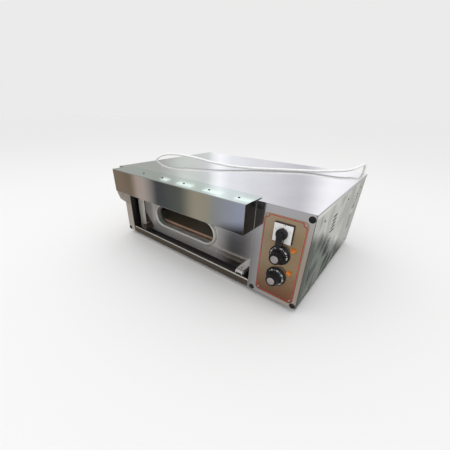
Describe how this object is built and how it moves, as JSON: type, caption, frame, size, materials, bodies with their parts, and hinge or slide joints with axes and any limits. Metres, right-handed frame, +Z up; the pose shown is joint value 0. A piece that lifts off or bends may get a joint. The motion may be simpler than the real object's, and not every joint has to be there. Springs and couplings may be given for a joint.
{
  "type": "electric pizza oven",
  "caption": "Stainless steel countertop pizza oven with a windowed drop-down door under a full-width hood, a stone deck, dial thermostats, a rotary switch and a mains cord.",
  "frame": {"origin": "middle of the oven's box, without its cord, on the surface that it stands on", "axes": "+X to the right seen from the front, -Y out of the front, +Z up"},
  "size_m": [0.889, 0.6784, 0.3125],
  "materials": {
    "stainless": "brushed, bright",
    "zinc_steel": "zinc plated",
    "chamber_steel": "aluminised, dull",
    "heater_steel": "oxidised",
    "bright_trim": "polished",
    "black_rubber": "matte",
    "mineral_wool": "fibrous",
    "stone": "fired clay, rough",
    "fascia_film": "printed film on plate, satin",
    "black_plastic": "moulded, satin",
    "grey_plastic": "moulded, matte",
    "white_plastic": "moulded, satin",
    "amber_lens": "clear tinted",
    "window_glass": "clear, heat resistant",
    "window_seal": "woven tape",
    "cord_sheath": "smooth, matte"
  },
  "bodies": {
    "oven": {"base_pan": "stainless", "left_side_panel": "stainless", "right_side_panel": "stainless", "rear_panel": "stainless", "top_cover": "stainless", "control_panel": "stainless", "control_box_wall": "zinc_steel", "face_frame": "stainless", "feet": "black_rubber", "casing_screws": "zinc_steel", "panel_caps": "black_rubber", "chamber_shell": "chamber_steel", "chamber_floor": "chamber_steel", "chamber_back": "chamber_steel", "insulation_wrap": "mineral_wool", "insulation_rear": "mineral_wool", "insulation_bottom": "mineral_wool", "stone_deck": "stone", "stone_rails": "zinc_steel", "lower_heater": "heater_steel", "upper_heater": "heater_steel", "heater_supports": "zinc_steel", "fascia_plate": "fascia_film", "fascia_rivets": "bright_trim", "switch_body": "grey_plastic", "switch_base": "black_plastic", "switch_plate": "white_plastic", "upper_thermostat": "grey_plastic", "lower_thermostat": "grey_plastic", "upper_lamp": "amber_lens", "lower_lamp": "amber_lens", "terminal_block": "white_plastic", "hinge_eyes": "zinc_steel", "cord_gland": "black_plastic", "power_cord": "cord_sheath", "cord_coil": "cord_sheath", "cord_tie": "black_plastic", "plug": "white_plastic"},
    "door": {"hinge_arms": "stainless", "hinge_pins": "stainless", "door_skin": "stainless", "door_liner": "stainless", "door_insulation": "mineral_wool", "window_bezel": "bright_trim", "window_glass": "window_glass", "window_gasket": "window_seal", "hood": "stainless", "hood_left_end": "stainless", "hood_right_end": "stainless", "hood_hanger": "zinc_steel", "hood_screws": "zinc_steel"},
    "switch": {"switch_spindle": "zinc_steel", "switch_handle": "black_plastic"},
    "upper_dial": {"upper_spindle": "zinc_steel", "upper_knob": "black_plastic", "upper_knob_cap": "bright_trim"},
    "lower_dial": {"lower_spindle": "zinc_steel", "lower_knob": "black_plastic", "lower_knob_cap": "bright_trim"}
  },
  "joints": [
    {"name": "door_hinge", "type": "hinge", "parent": "oven", "child": "door", "pos_m": [0, -0.219, 0.039], "axis": [1, 0, 0], "range_deg": [0, 75]},
    {"name": "switch_turn", "type": "hinge", "parent": "oven", "child": "switch", "pos_m": [0.3089, -0.249, 0.218], "axis": [0, 1, 0], "range_deg": [-60, 60]},
    {"name": "upper_dial_turn", "type": "hinge", "parent": "oven", "child": "upper_dial", "pos_m": [0.3089, -0.249, 0.158], "axis": [0, 1, 0], "range_deg": [0, 270]},
    {"name": "lower_dial_turn", "type": "hinge", "parent": "oven", "child": "lower_dial", "pos_m": [0.3089, -0.249, 0.094], "axis": [0, 1, 0], "range_deg": [0, 270]}
  ]
}
